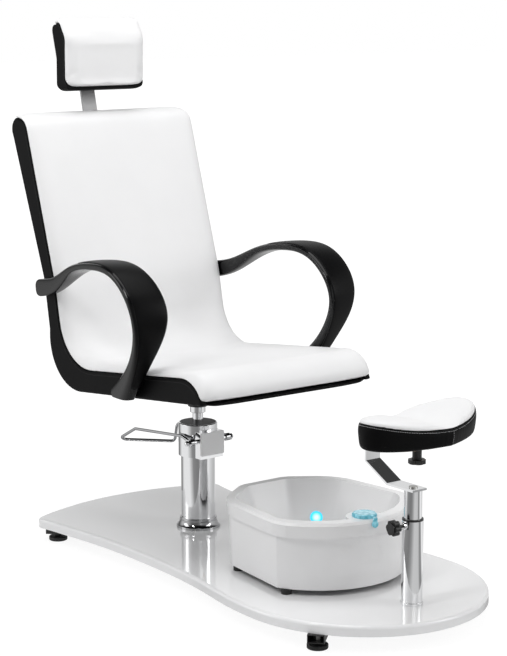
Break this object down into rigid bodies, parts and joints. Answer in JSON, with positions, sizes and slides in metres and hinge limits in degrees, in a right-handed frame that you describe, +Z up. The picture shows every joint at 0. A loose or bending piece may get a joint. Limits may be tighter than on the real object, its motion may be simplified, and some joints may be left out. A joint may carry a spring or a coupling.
{
  "type": "pedicure spa chair",
  "caption": "Salon seat on a hydraulic swivel lift with looped arms and a sliding headrest, sharing one board with a foot bath and a height-adjustable footrest",
  "frame": {"origin": "on the floor, under the middle of the bounding box", "axes": "X forward from the back of the seat to the footrest, Y to the sitter's left, Z up"},
  "size_m": [1.4987, 0.7174, 1.4128],
  "materials": {
    "board_white": "white gloss board",
    "frame_black": "black powder coat",
    "bolt_steel": "zinc plated",
    "foot_black": "black moulded foot",
    "lift_chrome": "polished chrome",
    "cover_plate_pale": "pale satin plate",
    "pump_inner_steel": "ground steel",
    "guide_black": "black moulded plastic",
    "mount_black": "black paint",
    "shell_ply": "bent plywood",
    "upholstery_white": "white vinyl",
    "upholstery_black": "black grained vinyl",
    "arm_gloss": "black gloss moulding",
    "arm_pad_matte": "black satin pad",
    "bar_steel": "brushed flat bar",
    "tub_white": "white moulded basin",
    "unit_white": "plain housing",
    "control_blue": "translucent blue"
  },
  "bodies": {
    "base": {"base_board": "board_white", "frame_spine": "frame_black", "outrigger_front_left": "frame_black", "outrigger_front_right": "frame_black", "outrigger_rear_left": "frame_black", "outrigger_rear_right": "frame_black", "frame_nuts": "bolt_steel", "anchor_bolts": "bolt_steel", "pump_flange": "lift_chrome", "pump_cylinder": "lift_chrome", "pump_head": "lift_chrome", "pump_cap": "guide_black", "pump_cover_plate": "cover_plate_pale", "pump_pressure_tube": "pump_inner_steel", "post_outer_tube": "lift_chrome", "post_base_ring": "lift_chrome", "post_bush": "guide_black"},
    "ram": {"pump_ram": "lift_chrome", "ram_collar": "lift_chrome"},
    "seat": {"seat_mount_plate": "mount_black", "seat_bolts": "bolt_steel", "seat_shell": "shell_ply", "seat_cushion": "upholstery_white", "side_panel_left": "upholstery_black", "side_panel_right": "upholstery_black", "back_cover": "upholstery_black", "underside_cover": "upholstery_black", "arm_frame_left": "arm_gloss", "arm_frame_right": "arm_gloss", "arm_pad_left": "arm_pad_matte", "arm_pad_right": "arm_pad_matte", "arm_bolts": "bolt_steel", "headrest_guide": "mount_black", "guide_screws": "bolt_steel"},
    "headrest": {"headrest_bar": "bar_steel", "headrest_cushion": "upholstery_white", "headrest_shell": "upholstery_black"},
    "pedal": {"pedal_shaft": "lift_chrome", "pedal_rod": "lift_chrome", "pedal_nuts": "lift_chrome"},
    "plunger": {"pump_plunger": "bolt_steel", "plunger_spring": "bolt_steel"},
    "post_upper": {"post_inner_tube": "lift_chrome", "footrest_pivot_bolt": "bolt_steel"},
    "post_lock": {"post_knob": "guide_black"},
    "swing_arm": {"footrest_arm": "lift_chrome"},
    "footrest": {"footrest_board": "shell_ply", "footrest_skirt": "upholstery_black", "footrest_cushion": "upholstery_white"},
    "footrest_lock": {"footrest_knob": "guide_black"},
    "tub": {"tub_shell": "tub_white", "tub_feet": "foot_black", "tub_light": "control_blue", "tub_power_unit": "unit_white"},
    "dial": {"tub_dial": "control_blue"},
    "switch": {"tub_switch": "control_blue"},
    "foot_front_right": {"levelling_foot_front_right": "foot_black"},
    "foot_front_left": {"levelling_foot_front_left": "foot_black"},
    "foot_rear_right": {"levelling_foot_rear_right": "foot_black"},
    "foot_rear_left": {"levelling_foot_rear_left": "foot_black"}
  },
  "joints": [
    {"name": "seat_lift", "type": "slide", "parent": "base", "child": "ram", "axis": [0, 0, 1], "range_m": [0, 0.12]},
    {"name": "seat_swivel", "type": "hinge", "parent": "ram", "child": "seat", "pos_m": [-0.22061, 0, 0.4], "axis": [0, 0, 1], "continuous": true},
    {"name": "headrest_height", "type": "slide", "parent": "seat", "child": "headrest", "axis": [-0.2419, 0, 0.9703], "range_m": [0, 0.11]},
    {"name": "pedal_swing", "type": "hinge", "parent": "base", "child": "pedal", "pos_m": [-0.17061, 0, 0.309], "axis": [0, -1, 0], "range_deg": [0, 25], "stiffness_Nm_per_rad": 6, "springref_deg": -20.05},
    {"name": "plunger_stroke", "type": "slide", "parent": "base", "child": "plunger", "axis": [0, 0, -1], "range_m": [0, 0.0096], "deforming": ["plunger_spring"]},
    {"name": "post_height", "type": "slide", "parent": "base", "child": "post_upper", "axis": [0, 0, 1], "range_m": [0, 0.08]},
    {"name": "post_knob_turn", "type": "hinge", "parent": "base", "child": "post_lock", "pos_m": [0.62139, -0.061, 0.258], "axis": [0, -1, 0], "continuous": true},
    {"name": "footrest_swing", "type": "hinge", "parent": "post_upper", "child": "swing_arm", "pos_m": [0.62139, 0, 0.342], "axis": [0, 0, 1], "continuous": true},
    {"name": "footrest_turn", "type": "hinge", "parent": "swing_arm", "child": "footrest", "pos_m": [0.63239, 0, 0.452], "axis": [0, 0, 1], "continuous": true},
    {"name": "footrest_knob_turn", "type": "hinge", "parent": "footrest", "child": "footrest_lock", "pos_m": [0.63239, 0, 0.425], "axis": [0, 0, 1], "continuous": true},
    {"name": "tub_lift_off", "type": "slide", "parent": "base", "child": "tub", "axis": [0, 0, 1], "range_m": [0, 0.08]},
    {"name": "dial_turn", "type": "hinge", "parent": "tub", "child": "dial", "pos_m": [0.46739, -0.014, 0.25], "axis": [0, 0, 1], "range_deg": [0, 270]},
    {"name": "switch_tilt", "type": "hinge", "parent": "tub", "child": "switch", "pos_m": [0.50839, -0.018, 0.235], "axis": [1, 0, 0], "range_deg": [-20, 20]},
    {"name": "foot_turn_front_right", "type": "hinge", "parent": "base", "child": "foot_front_right", "pos_m": [0.57939, -0.25, 0.02], "axis": [0, 0, 1], "continuous": true},
    {"name": "foot_turn_front_left", "type": "hinge", "parent": "base", "child": "foot_front_left", "pos_m": [0.57939, 0.25, 0.02], "axis": [0, 0, 1], "continuous": true},
    {"name": "foot_turn_rear_right", "type": "hinge", "parent": "base", "child": "foot_rear_right", "pos_m": [-0.52661, -0.25, 0.02], "axis": [0, 0, 1], "continuous": true},
    {"name": "foot_turn_rear_left", "type": "hinge", "parent": "base", "child": "foot_rear_left", "pos_m": [-0.52661, 0.25, 0.02], "axis": [0, 0, 1], "continuous": true}
  ],
  "couplings": [
    {"joint": "plunger_stroke", "follows": "pedal_swing", "m_per_rad": 0.0215}
  ]
}
